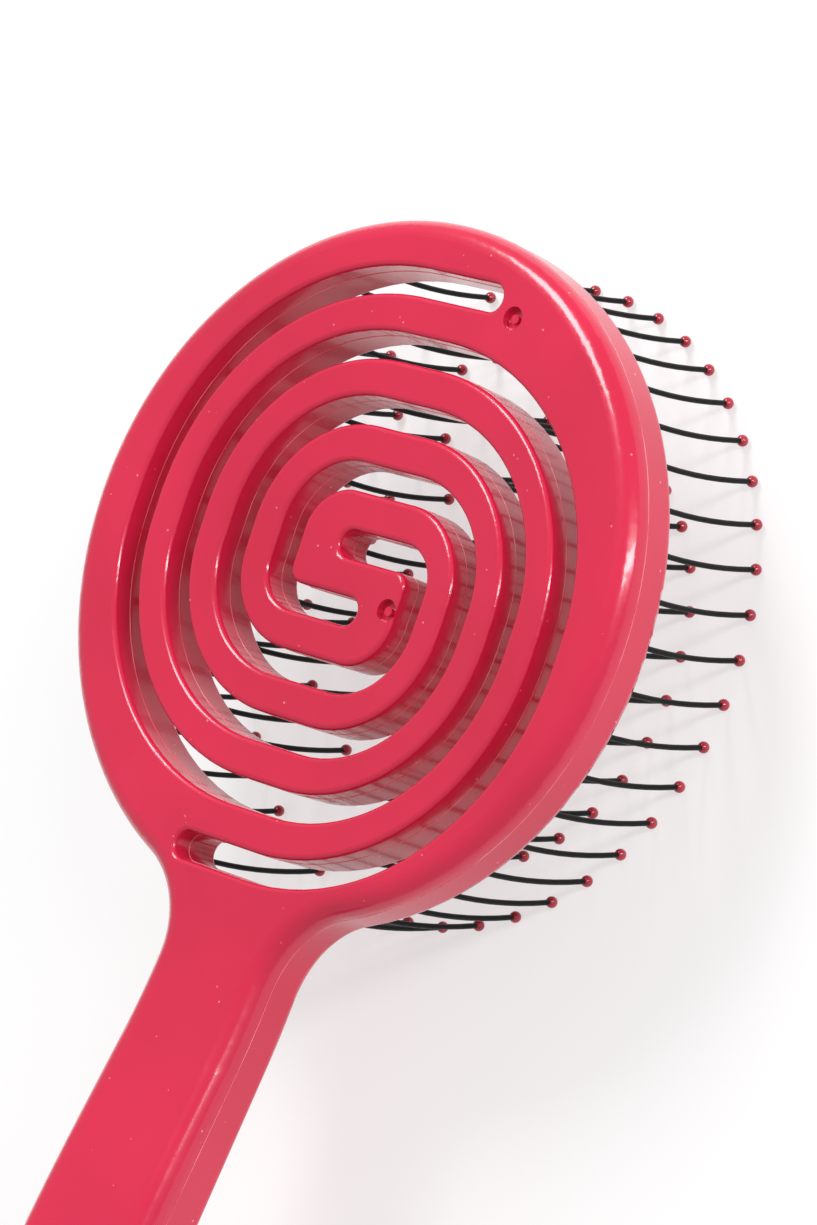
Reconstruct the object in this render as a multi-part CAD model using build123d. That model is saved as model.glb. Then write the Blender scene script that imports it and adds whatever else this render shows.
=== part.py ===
from build123d import *
import os
from math import cos, hypot, radians, sin, tan

os.makedirs("parts", exist_ok=True)

# Vented hairbrush with a double-spiral head, all sizes in millimetres.
# Everything is modelled in the head's frame: +X right and +Y to the head's far end, seen from
# the back, +Z out of the back, zero at the middle of the back face. At the end the whole brush
# is shifted to stand on its ball tips with the head level. Its weight falls inside the pins, so
# the handle stays clear of the table.

# head disc
head_radius = 50.0
head_centre_y = 1.5
back_height = 2.6          # rim's back face above the middle of the head
rim_flat_width = 4.0       # level band round the shallow dish of the back
core_thickness = 6.5       # back face to front face at the middle
back_shell_wall = 3.3      # back shell's share of the thickness
back_edge_radius = 3.0
front_edge_radius = 1.4
slot_edge_radius = 0.7

# double-spiral slot: straights joined by quarter turns that grow by one step each
slot_width = 4.0
first_top = 4.6            # middle of the slot above the head's centre on its first straight
first_side = 12.6          # the same to the right, on the straight after it
rim_width_lengthwise = 5.8  # head radius less the slot's reach, along and across the brush
rim_width_crosswise = 8.4
first_turn_radius = 4.2
last_turn_inset = 11.5     # head radius less the radius of the last turn
start_x = -1.5
quarter_turns = 8
end_x = 11.2               # where the slot's last straight ends

# handle
brush_length = 236.0
neck_width = 20.6
end_width = 25.0
neck_fillet = 14.0
end_corner_radius = 11.0
neck_length = 9.5          # head's near edge to where the handle turns up
rise_length = 60.0         # from there to where it turns level again
rise_angle = 13.0
end_angle = 0.0
crest_thickness = 12.4
end_thickness = 11.0
bend_radius = 110.0
crest_radius = 330.0
handle_wall = 2.4
cavity_setback = 10.0      # where the handle turns up to the start of its hollow

# pins
pin_diameter = 0.8
pin_reach = 25.0           # front face to the middle of the ball tip
pin_sweep_angle = 14.0     # how far the pin's end has turned to the head's far end
pin_end_straight = 1.0
pin_spacing = 6.4
rim_ring_inset_x = 4.8     # head's edge to the rim's pin ring, across and along the brush
rim_ring_inset_y = 2.7
rim_ring_shift = 0.8       # how far the ring's middle is nearer the handle than the head's
bar_end_x = -11.5          # where the bar of the first arm runs into the rim
centre_pin_places = ((-7.0, 4.6), (-3.3, 0.0), (3.3, 0.0), (7.0, -4.6))
pin_hole_clearance = 0.02
flange_diameter = 1.9
flange_thickness = 0.6
flange_drop = 0.12         # flange top under the parting surface
flange_clearance = 0.05
tip_diameter = 1.7
tip_seat_depth = 0.35      # how far the pin goes past the middle of the ball

# gate marks on the back
rim_gate_offset = (5.1, -2.2)      # from the end of the slot's last straight
centre_gate_offset = (-3.7, 1.6)   # from the first two straights of the slot
gate_diameter = 3.3
gate_depth = 1.1
gate_nub_diameter = 1.3
gate_nub_height = 0.6

front_z = -core_thickness
dish_radius = head_radius - rim_flat_width
end_y = head_centre_y + head_radius - brush_length
bend_y = head_centre_y - head_radius - neck_length
crest_y = bend_y - rise_length
cavity_start_y = bend_y - cavity_setback
last_top = head_radius - rim_width_lengthwise - slot_width / 2
last_side = head_radius - rim_width_crosswise - slot_width / 2
pitch_lengthwise = (last_top - first_top) / (quarter_turns // 2)        # growth per half turn
pitch_crosswise = (last_side - first_side) / (quarter_turns // 2 - 1)
turn_radius_step = (head_radius - last_turn_inset - first_turn_radius) / (quarter_turns - 1)
rim_ring_x = head_radius - rim_ring_inset_x
rim_ring_y = head_radius - rim_ring_inset_y
rim_ring_centre_y = head_centre_y - rim_ring_shift
rim_gate = (end_x + rim_gate_offset[0], last_top + rim_gate_offset[1])
centre_gate = (first_side + centre_gate_offset[0], centre_gate_offset[1] - first_top)
half_slot = slot_width / 2
head_axis = Axis((0, head_centre_y, 0), (0, 0, 1))
margin = 20.0


def spiral_corners():
    """Distance of each side from the centre, and the radius of the turn before it."""
    sides = []
    for k in range(quarter_turns):
        if k % 2 == 0:
            sides.append(first_side + pitch_crosswise * (k // 2))
        else:
            sides.append(first_top + pitch_lengthwise * ((k + 1) // 2))
    radii = [first_turn_radius + turn_radius_step * k for k in range(quarter_turns)]
    return sides, radii


def spiral_edges(offset):
    """The slot's middle line moved outwards by offset, clockwise from its inner end."""
    sides, radii = spiral_corners()
    heading = Vector(1, 0)
    middle_line = Vector(start_x, first_top)
    edges = []
    for side, radius in zip(sides, radii):
        outward = Vector(-heading.Y, heading.X)
        corner_start = middle_line + heading * (side - radius - middle_line.dot(heading))
        centre = corner_start - outward * radius
        corner_end = centre + heading * radius
        reach = radius + offset
        edges.append(Line(middle_line + outward * offset, corner_start + outward * offset))
        diagonal = (heading + outward).normalized()
        edges.append(
            ThreePointArc(centre + outward * reach, centre + diagonal * reach, centre + heading * reach)
        )
        middle_line = corner_end
        heading = -outward
    outward = Vector(-heading.Y, heading.X)
    last_start = middle_line + outward * offset
    edges.append(Line(last_start, last_start + heading * (end_x - middle_line.X)))
    return edges


def slot_face():
    """One arm of the slot: two offset outlines joined by round ends."""
    outer = spiral_edges(half_slot)
    inner = spiral_edges(-half_slot)
    start_cap = ThreePointArc(inner[0] @ 0, Vector(start_x - half_slot, first_top), outer[0] @ 0)
    tip = (outer[-1] @ 1 + inner[-1] @ 1) / 2 + Vector(half_slot, 0)
    end_cap = ThreePointArc(outer[-1] @ 1, tip, inner[-1] @ 1)
    return make_face(outer + [end_cap] + inner + [start_cap])


def plan_outline(inset=0.0):
    """Outline of head and handle seen from the back, moved inwards by inset."""
    def half_width(y):
        share = (bend_y - y) / (bend_y - end_y)
        return (neck_width + (end_width - neck_width) * share) / 2 - inset

    top_y = head_centre_y
    grip = make_face(
        Polyline(
            (half_width(top_y), top_y),
            (half_width(end_y), end_y + inset),
            (-half_width(end_y), end_y + inset),
            (-half_width(top_y), top_y),
            close=True,
        )
    )
    ends = grip.vertices().sort_by(Axis.Y)[:2]
    grip = fillet(ends, end_corner_radius - inset)
    disc = Pos(0, head_centre_y) * Circle(head_radius - inset)
    outline = disc + grip
    necks = [v for v in outline.vertices() if 0.3 * neck_width < abs(v.X) < neck_width
             and bend_y < v.Y < head_centre_y]
    return fillet(necks, neck_fillet + inset)


def side_heights(share):
    """Corner heights along the side profile: share 0 is the back face, 1 the front face."""
    head = back_height - share * (back_height - front_z)
    rise = (bend_y - crest_y) * tan(radians(rise_angle))
    crest = back_height + rise - share * crest_thickness
    tail_y = end_y - margin
    drop = (crest_y - tail_y) * tan(radians(end_angle))
    tail = back_height + rise + drop - share * end_thickness
    return head, crest, tail


def side_line(share, shift=0.0):
    """Side profile line in the (Y, Z) plane, shifted up or down."""
    head, crest, tail = side_heights(share)
    return FilletPolyline(
        (head_radius + margin, head + shift),
        (bend_y, head + shift),
        (crest_y, crest + shift),
        (end_y - margin, tail + shift),
        radius=[bend_radius, crest_radius],
    )


def side_slab(upper, lower):
    """Solid between two side profile lines, wider than the head."""
    ends = [Line(upper @ 1, lower @ 1), Line(lower @ 0, upper @ 0)]
    face = make_face(upper.edges() + lower.edges() + ends)
    return extrude(Plane.YZ * face, head_radius + margin, both=True)


def dish_tool(drop):
    """Revolved solid above the dish surface, lowered by drop."""
    surface = Spline(
        (0, -drop), (dish_radius, back_height - drop), tangents=[(1, 0), (1, 0)]
    )
    wall = Polyline((dish_radius, back_height - drop), (dish_radius, margin), (0, margin), (0, -drop))
    face = make_face(surface.edges() + wall.edges())
    profile = Pos(0, head_centre_y, 0) * (Plane.XZ * face)
    return revolve(profile, head_axis, 360)


def edges_on(shape, outline, band):
    """Level edges of a shape that lie on a plan outline and inside a band between two heights."""
    found = []
    for edge in shape.edges():
        spot = edge @ 0.5
        level = abs((edge % 0.5).Z) < 0.9
        if level and outline.distance_to(Vector(spot.X, spot.Y, 0)) < 0.05 and band.is_inside(spot):
            found.append(edge)
    return found


def brush_blank():
    """Head and handle as one rounded body, dished on the back, before the slots are cut."""
    outline = plan_outline()
    column = extrude(outline, 3 * margin, both=True)
    blank = column & side_slab(side_line(0), side_line(1))
    for share, radius in ((0, back_edge_radius), (1, front_edge_radius)):
        band = side_slab(side_line(share, 0.5), side_line(share, -0.5))
        blank = fillet(edges_on(blank, outline.wires()[0], band), radius)
    return blank - dish_tool(0)


def below_parting():
    """Everything on the pin side of the parting surface between the two shells."""
    share = back_shell_wall / (back_height - front_z)
    return side_slab(side_line(share), side_line(1, -margin)) - dish_tool(back_shell_wall)


def handle_cavity():
    """Hollow inside the handle, closed all round by both shells."""
    inner = extrude(plan_outline(handle_wall), 3 * margin, both=True)
    inner = inner & side_slab(side_line(0, -handle_wall), side_line(1, handle_wall))
    length = cavity_start_y - end_y
    grip_box = Pos(0, cavity_start_y - length / 2, 0) * Box(neck_width * 3, length, 6 * margin)
    return inner & grip_box


def gate_mark(place):
    """Round dimple with a small nub left in it."""
    x, y = place
    surface = dish_height(x, y)
    dimple = Pos(x, y, surface) * Cylinder(gate_diameter / 2, 2 * gate_depth)
    nub_height = gate_nub_height + gate_depth
    nub = Pos(x, y, surface - gate_depth + gate_nub_height - nub_height / 2)
    return dimple - nub * Cylinder(gate_nub_diameter / 2, nub_height)


def dish_height(x, y):
    """Height of the back face at a place on the head, as on the dish's revolved spline."""
    share = min(hypot(x, y - head_centre_y) / dish_radius, 1.0)
    return back_height * (3 * share ** 2 - 2 * share ** 3)


def slot_edges(shell, upper):
    """Edges of the slots on the back face (upper) or on the front face."""
    found = []
    for turn in (0, 180):
        outline = slot_face().wires()[0].rotate(Axis.Z, turn)
        for edge in shell.edges():
            spot = edge @ 0.5
            face_z = dish_height(spot.X, spot.Y) if upper else front_z
            level = abs((edge % 0.5).Z) < 0.9 and abs(spot.Z - face_z) < 0.4
            if level and outline.distance_to(Vector(spot.X, spot.Y, 0)) < 0.05:
                found.append(edge)
    return found


def shells():
    """Back shell and front shell, with slots, rounded slot edges and the hollow handle."""
    blank = brush_blank()
    front_side = below_parting()
    arm = extrude(slot_face(), 2 * margin, both=True)
    cutters = [arm, arm.rotate(Axis.Z, 180), handle_cavity()]
    back = (blank - front_side) - cutters
    front = (blank & front_side) - cutters
    back = fillet(slot_edges(back, True), slot_edge_radius)
    front = fillet(slot_edges(front, False), slot_edge_radius)
    back = back - [gate_mark(place) for place in (rim_gate, centre_gate)]
    return back, front


def spaced(path, count):
    """Evenly spaced places along a path, both ends included."""
    return [path @ (k / (count - 1)) for k in range(count)]


def rim_places():
    """Pin ring on the rim."""
    ring = Ellipse(rim_ring_x, rim_ring_y).wires()[0]
    count = round(ring.length / pin_spacing)
    return [ring @ (k / count) + Vector(0, rim_ring_centre_y) for k in range(count)]


def bar_places():
    """Pins along the bar that runs outside the first arm of the slot."""
    edges = spiral_edges(pitch_lengthwise / 2)[:-5]
    run_out = edges[-1] @ 1
    edges.append(Line(run_out, Vector(bar_end_x, run_out.Y)))
    path = Wire(edges)
    return spaced(path, round(path.length / pin_spacing) + 1)


def pin_end():
    """Middle of the ball tip and the direction of the pin's end, for a pin at the origin."""
    angle = radians(pin_sweep_angle)
    arc_radius = (pin_reach - pin_end_straight * cos(angle)) / sin(angle)
    arc_end = Vector(0, arc_radius * (1 - cos(angle)), front_z - arc_radius * sin(angle))
    direction = Vector(0, sin(angle), -cos(angle))
    return arc_end, direction, arc_radius


def pin(place):
    """One pin: flange under the parting surface, straight root, swept shaft."""
    root = flange_top(place)
    arc_end, direction, arc_radius = pin_end()
    angle = radians(pin_sweep_angle)
    half = Vector(0, arc_radius * (1 - cos(angle / 2)), front_z - arc_radius * sin(angle / 2))
    path = Wire(
        [
            Line((0, 0, root), (0, 0, front_z)),
            ThreePointArc((0, 0, front_z), half, arc_end),
            Line(arc_end, arc_end + direction * (pin_end_straight + tip_seat_depth)),
        ]
    )
    section = Plane(origin=(0, 0, root), z_dir=(0, 0, -1)) * Circle(pin_diameter / 2)
    flange = Pos(0, 0, root - flange_thickness / 2) * Cylinder(flange_diameter / 2, flange_thickness)
    return Pos(place.X, place.Y, 0) * (sweep(section, path) + flange)


def flange_top(place):
    """Top of a pin's flange, just under the parting surface."""
    return dish_height(place.X, place.Y) - back_shell_wall - flange_drop


def pin_hole(place):
    """Clearance hole and flange seat of one pin in the front shell."""
    seat = flange_top(place) - flange_thickness
    hole = Pos(0, 0, seat) * Cylinder(pin_diameter / 2 + pin_hole_clearance, 4 * core_thickness)
    pocket = Cylinder(
        flange_diameter / 2 + flange_clearance,
        2 * core_thickness,
        align=(Align.CENTER, Align.CENTER, Align.MIN),
    )
    return Pos(place.X, place.Y, 0) * (hole + Pos(0, 0, seat) * pocket)


def ball_tip():
    """One moulded ball tip with the socket that holds the pin's end, for a pin at the origin."""
    arc_end, direction, _ = pin_end()
    middle = arc_end + direction * pin_end_straight
    ball = Pos(*middle) * Sphere(tip_diameter / 2)
    return ball - pin(Vector(0, 0))


def standing_shift(pieces):
    """Shift that stands the brush on its ball tips, with its box's bottom centre at the origin."""
    box = Compound(list(pieces)).bounding_box()
    centre = box.center()
    return Vector(-centre.X, -centre.Y, -box.min.Z)


def main():
    back, front = shells()
    rim = rim_places()
    first_bar = bar_places()
    half_count = len(first_bar) // 2
    second_bar = [Vector(-p.X, -p.Y) for p in first_bar]
    groups = {
        "rim": rim,
        "centre": [Vector(x, y) for x, y in centre_pin_places],
        "first_bar_inner": first_bar[:half_count],
        "first_bar_outer": first_bar[half_count:],
        "second_bar_inner": second_bar[:half_count],
        "second_bar_outer": second_bar[half_count:],
    }
    front = front - [pin_hole(p) for places in groups.values() for p in places]
    nodes = {"back_shell": back, "front_shell": front}
    tip = ball_tip()
    for name, places in groups.items():
        nodes[name + "_pins"] = Compound([pin(p).solid() for p in places])
        nodes[name + "_ball_tips"] = Compound([(Pos(p.X, p.Y, 0) * tip).solid() for p in places])

    shift = standing_shift(nodes.values())
    for name, piece in nodes.items():
        standing = Pos(*shift) * piece
        standing.label = name
        export_step(standing, "parts/" + name + ".step")
        print(name, len(standing.solids()), round(standing.volume, 1))
    print("shift", shift)

main()
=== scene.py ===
import math

import bpy
from mathutils import Euler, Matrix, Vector


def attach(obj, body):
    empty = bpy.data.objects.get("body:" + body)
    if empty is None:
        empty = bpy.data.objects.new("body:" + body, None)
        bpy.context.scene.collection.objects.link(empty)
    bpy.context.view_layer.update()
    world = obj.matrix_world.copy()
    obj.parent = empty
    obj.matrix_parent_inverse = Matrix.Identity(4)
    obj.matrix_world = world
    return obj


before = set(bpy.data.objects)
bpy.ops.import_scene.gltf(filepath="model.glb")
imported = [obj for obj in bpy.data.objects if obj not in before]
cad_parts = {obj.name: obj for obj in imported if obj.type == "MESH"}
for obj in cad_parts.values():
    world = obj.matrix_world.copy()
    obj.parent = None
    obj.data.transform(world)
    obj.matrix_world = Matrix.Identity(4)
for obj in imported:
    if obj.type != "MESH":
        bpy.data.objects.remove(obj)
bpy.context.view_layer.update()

# Camera: place in metres, turn in degrees about X, Y and Z, and focal length in millimetres.
CAMERA_PLACE = (0.4422, 0.0384, 0.5235)
CAMERA_TURN = (17.142, 38.081, 23.178)
CAMERA_LENS = 140.33

CRIMSON = (0.66, 0.011, 0.060, 1.0)
DEEP_CRIMSON = (0.56, 0.008, 0.047, 1.0)
# Pale pink painted highlight along the weld seam's bead.
SEAM_HIGHLIGHT_PINK = (0.95, 0.34, 0.40, 1.0)
SEAM_CRIMSON = (0.85, 0.07, 0.13, 1.0)
SPECK_PINK = (0.95, 0.42, 0.47, 1.0)
TIP_RED = (0.36, 0.012, 0.030, 1.0)
TIP_LIGHT_RED = (0.45, 0.020, 0.042, 1.0)
NYLON_BLACK = (0.0025, 0.0025, 0.003, 1.0)
NYLON_GREY = (0.005, 0.005, 0.006, 1.0)
FLOOR_GREY = (0.38, 0.38, 0.38, 1.0)
WHITE = (1.0, 1.0, 1.0, 1.0)

PLASTIC_IOR = 1.50
NYLON_IOR = 1.53

# The seam's bead and the floor, in metres.
SEAM_RADIUS = 0.000055
FLOOR_HALF = 6.0

# Both lights are aimed here, at the head, a little nearer the handle than its middle. Metres.
LIGHT_AIM = (0, 0.05, 0.04)

# A face looks down if its normal's share along -Z is over the first of these, and it is upright if
# that share, either way, is under the second.
FACES_DOWN = 0.80
UPRIGHT = 0.30


def add(name, data):
    """Puts a new object in the scene."""
    piece = bpy.data.objects.new(name, data)
    bpy.context.scene.collection.objects.link(piece)
    return piece


# ---------------------------------------------------------------- materials

def new_material(name):
    """New material whose tree holds a Principled shader, wired to the output."""
    material = bpy.data.materials.new(name)
    material.use_nodes = True
    tree = material.node_tree
    tree.nodes.clear()
    shader = tree.nodes.new("ShaderNodeBsdfPrincipled")
    output = tree.nodes.new("ShaderNodeOutputMaterial")
    tree.links.new(shader.outputs["BSDF"], output.inputs["Surface"])
    return material, tree, shader


def noise(tree, place, scale, detail=2.0):
    """Noise from 0 to 1, finer as the scale grows."""
    node = tree.nodes.new("ShaderNodeTexNoise")
    node.inputs["Scale"].default_value = scale
    node.inputs["Detail"].default_value = detail
    node.inputs["Roughness"].default_value = 0.5
    tree.links.new(place, node.inputs["Vector"])
    return node.outputs["Fac"]


def spread(tree, value, low, high, to_low, to_high):
    """Maps a value from one range onto another, clamped."""
    node = tree.nodes.new("ShaderNodeMapRange")
    node.inputs["From Min"].default_value = low
    node.inputs["From Max"].default_value = high
    node.inputs["To Min"].default_value = to_low
    node.inputs["To Max"].default_value = to_high
    tree.links.new(value, node.inputs["Value"])
    return node.outputs["Result"]


def uneven(tree, place, scale, low, high):
    """Noise whose middle part is spread from low to high."""
    return spread(tree, noise(tree, place, scale), 0.3, 0.7, low, high)


def mixed(tree, share, first, second):
    """Colour mix; first and second are colours or sockets."""
    node = tree.nodes.new("ShaderNodeMix")
    node.data_type = "RGBA"
    tree.links.new(share, node.inputs["Factor"])
    for side, value in (("A", first), ("B", second)):
        socket = [s for s in node.inputs if s.name == side and s.type == "RGBA"][0]
        if isinstance(value, tuple):
            socket.default_value = value
        else:
            tree.links.new(value, socket)
    return [s for s in node.outputs if s.type == "RGBA"][0]


def bump(tree, height, strength, distance, under=None):
    """Surface relief, laid over the relief under it where that is given."""
    node = tree.nodes.new("ShaderNodeBump")
    node.inputs["Strength"].default_value = strength
    node.inputs["Distance"].default_value = distance
    tree.links.new(height, node.inputs["Height"])
    if under is not None:
        tree.links.new(under, node.inputs["Normal"])
    return node.outputs["Normal"]


def moulded_plastic():
    """Glossy crimson shell: flow mottling, faint orange peel, hair scratches and a few specks."""
    material, tree, shader = new_material("moulded_crimson")
    place = tree.nodes.new("ShaderNodeTexCoord").outputs["Object"]

    flow = spread(tree, noise(tree, place, 26.0, 3.0), 0.35, 0.68, 0.0, 1.0)
    body = mixed(tree, flow, CRIMSON, DEEP_CRIMSON)

    cells = tree.nodes.new("ShaderNodeTexVoronoi")
    cells.inputs["Scale"].default_value = 620.0
    tree.links.new(place, cells.inputs["Vector"])
    dots = spread(tree, cells.outputs["Distance"], 0.07, 0.12, 1.0, 0.0)
    pick = spread(tree, noise(tree, place, 210.0, 0.0), 0.63, 0.69, 0.0, 0.55)
    specks = tree.nodes.new("ShaderNodeMath")
    specks.operation = "MULTIPLY"
    tree.links.new(dots, specks.inputs[0])
    tree.links.new(pick, specks.inputs[1])
    speckled = mixed(tree, specks.outputs["Value"], body, SPECK_PINK)
    tree.links.new(speckled, shader.inputs["Base Color"])

    stretch = tree.nodes.new("ShaderNodeMapping")
    stretch.inputs["Scale"].default_value = (1.0, 0.07, 1.0)
    stretch.inputs["Rotation"].default_value = (0.0, 0.0, math.radians(24))
    tree.links.new(place, stretch.inputs["Vector"])
    streaks = noise(tree, stretch.outputs["Vector"], 900.0, 1.0)
    scratches = spread(tree, streaks, 0.70, 0.76, 0.0, 1.0)

    tree.links.new(uneven(tree, place, 75.0, 0.17, 0.25), shader.inputs["Roughness"])

    peel = bump(tree, noise(tree, place, 420.0), 0.05, 0.0003)
    marked = bump(tree, scratches, 0.04, 0.0001, peel)
    tree.links.new(marked, shader.inputs["Normal"])

    shader.inputs["IOR"].default_value = PLASTIC_IOR
    shader.inputs["Specular IOR Level"].default_value = 0.5
    shader.inputs["Coat Weight"].default_value = 0.32
    shader.inputs["Coat Roughness"].default_value = 0.06
    return material


def nylon():
    """Near-black drawn nylon with a slight sheen and fine unevenness."""
    material, tree, shader = new_material("black_nylon")
    place = tree.nodes.new("ShaderNodeTexCoord").outputs["Object"]
    shade = mixed(tree, uneven(tree, place, 300.0, 0.0, 1.0), NYLON_BLACK, NYLON_GREY)
    tree.links.new(shade, shader.inputs["Base Color"])
    tree.links.new(uneven(tree, place, 700.0, 0.30, 0.44), shader.inputs["Roughness"])
    tree.links.new(bump(tree, noise(tree, place, 2200.0), 0.08, 0.00005), shader.inputs["Normal"])
    shader.inputs["IOR"].default_value = NYLON_IOR
    shader.inputs["Specular IOR Level"].default_value = 0.12
    return material


def tip_gloss():
    """Glossy ball tips, a little darker than the shell, with uneven moulded shine."""
    material, tree, shader = new_material("tip_red")
    place = tree.nodes.new("ShaderNodeTexCoord").outputs["Object"]
    shade = mixed(tree, uneven(tree, place, 260.0, 0.0, 1.0), TIP_RED, TIP_LIGHT_RED)
    tree.links.new(shade, shader.inputs["Base Color"])
    tree.links.new(uneven(tree, place, 900.0, 0.16, 0.28), shader.inputs["Roughness"])
    tree.links.new(bump(tree, noise(tree, place, 1800.0), 0.05, 0.00006), shader.inputs["Normal"])
    shader.inputs["IOR"].default_value = PLASTIC_IOR
    shader.inputs["Coat Weight"].default_value = 0.3
    shader.inputs["Coat Roughness"].default_value = 0.05
    return material


def seam_plastic():
    """The same plastic where the two shells are welded, with a painted highlight that makes it
    paler in places.
    """
    material, tree, shader = new_material("weld_seam")
    place = tree.nodes.new("ShaderNodeTexCoord").outputs["Object"]
    # Painted highlight: noise decides where the seam bead turns pale pink.
    seam_highlight_share = spread(tree, noise(tree, place, 120.0, 3.0), 0.38, 0.62, 0.0, 1.0)
    tree.links.new(mixed(tree, seam_highlight_share, SEAM_CRIMSON, SEAM_HIGHLIGHT_PINK), shader.inputs["Base Color"])
    tree.links.new(uneven(tree, place, 500.0, 0.25, 0.45), shader.inputs["Roughness"])
    shader.inputs["IOR"].default_value = PLASTIC_IOR
    return material


def dress(node, material):
    """Gives every material slot of a CAD node one material."""
    slots = node.data.materials
    if len(slots) == 0:
        slots.append(material)
    for k in range(len(slots)):
        slots[k] = material


# ---------------------------------------------------------------- weld seam

def seam_edges(shell):
    """Sharp edges where the back shell's upright walls meet its parting face."""
    mesh = shell.data
    faces_of = {}
    for face in mesh.polygons:
        for key in face.edge_keys:
            spots = tuple(sorted(tuple(round(c, 7) for c in mesh.vertices[v].co) for v in key))
            faces_of.setdefault(spots, []).append(face.normal.copy())
    down = Vector((0.0, 0.0, -1.0))
    found = []
    for spots, normals in faces_of.items():
        if len(normals) != 2 or len(set(spots)) != 2:
            continue
        facing = sorted(n.dot(down) for n in normals)
        if facing[1] > FACES_DOWN and abs(facing[0]) < UPRIGHT:
            found.append(spots)
    return found


def seam_runs(edges):
    """Edges chained into runs of points."""
    neighbours = {}
    for a, b in edges:
        neighbours.setdefault(a, set()).add(b)
        neighbours.setdefault(b, set()).add(a)
    left = {frozenset(e) for e in edges}
    runs = []
    ends = sorted(p for p in neighbours if len(neighbours[p]) != 2)
    for start in ends + sorted(neighbours):
        while True:
            step = sorted(q for q in neighbours[start] if frozenset((start, q)) in left)
            if not step:
                break
            run, here = [start], start
            while step:
                left.discard(frozenset((here, step[0])))
                here = step[0]
                run.append(here)
                if len(neighbours[here]) != 2:
                    break
                step = sorted(q for q in neighbours[here] if frozenset((here, q)) in left)
            runs.append(run)
    return runs


def weld_seam(shell, material):
    """Hair-thin bead of weld flash along the joint between the two shells."""
    curve = bpy.data.curves.new("weld_seam", "CURVE")
    curve.dimensions = "3D"
    curve.bevel_depth = SEAM_RADIUS
    curve.bevel_resolution = 2
    for run in seam_runs(seam_edges(shell)):
        closed = run[0] == run[-1] and len(run) > 3
        points = run[:-1] if closed else run
        spline = curve.splines.new("POLY")
        spline.points.add(len(points) - 1)
        for point, spot in zip(spline.points, points):
            point.co = (*spot, 1.0)
        spline.use_cyclic_u = closed
    piece = add("weld_seam", curve)
    curve.materials.append(material)
    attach(piece, "root")


# ---------------------------------------------------------------- stage

def floor():
    """Pale studio floor that stays nearly white, with a soft shadow."""
    mesh = bpy.data.meshes.new("floor")
    signs = ((-1, -1), (1, -1), (1, 1), (-1, 1))
    corners = [(x * FLOOR_HALF, y * FLOOR_HALF, 0) for x, y in signs]
    mesh.from_pydata(corners, [], [(0, 1, 2, 3)])
    piece = add("floor", mesh)
    material, tree, shader = new_material("pale_floor")
    shader.inputs["Base Color"].default_value = FLOOR_GREY
    shader.inputs["Roughness"].default_value = 0.9
    shader.inputs["Specular IOR Level"].default_value = 0.1
    shader.inputs["Emission Color"].default_value = WHITE
    shader.inputs["Emission Strength"].default_value = 0.60
    mesh.materials.append(material)


def soft_light(name, place, size, power):
    """White area light aimed at the head."""
    data = bpy.data.lights.new(name, "AREA")
    data.shape = "RECTANGLE"
    data.size, data.size_y = size
    data.energy = power
    lamp = add(name, data)
    lamp.location = place
    lamp.rotation_mode = "QUATERNION"
    lamp.rotation_quaternion = (Vector(LIGHT_AIM) - Vector(place)).to_track_quat("-Z", "Y")


def surroundings():
    """White surroundings, a broad light over the far end and a tall one at the right."""
    world = bpy.data.worlds.new("studio")
    world.use_nodes = True
    sky = world.node_tree.nodes["Background"]
    sky.inputs["Color"].default_value = WHITE
    sky.inputs["Strength"].default_value = 0.52
    bpy.context.scene.world = world
    bpy.context.scene.view_settings.view_transform = "Standard"
    soft_light("key", (-0.30, 0.65, 0.712), (0.30, 0.50), 6.2)
    soft_light("side", (0.80, 0.446, 0.528), (0.10, 0.70), 5.0)


def camera():
    """The scene's camera."""
    data = bpy.data.cameras.new("camera")
    data.sensor_width = 36.0
    data.lens = CAMERA_LENS
    data.clip_start = 0.01
    data.clip_end = 30.0
    piece = add("camera", data)
    piece.location = CAMERA_PLACE
    piece.rotation_euler = Euler([math.radians(a) for a in CAMERA_TURN])
    bpy.context.scene.camera = piece


finishes = {"_shell": moulded_plastic(), "_pins": nylon(), "_ball_tips": tip_gloss()}
for name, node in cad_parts.items():
    for ending, material in finishes.items():
        if name.endswith(ending):
            dress(node, material)
weld_seam(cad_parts["back_shell"], seam_plastic())

floor()
surroundings()
camera()
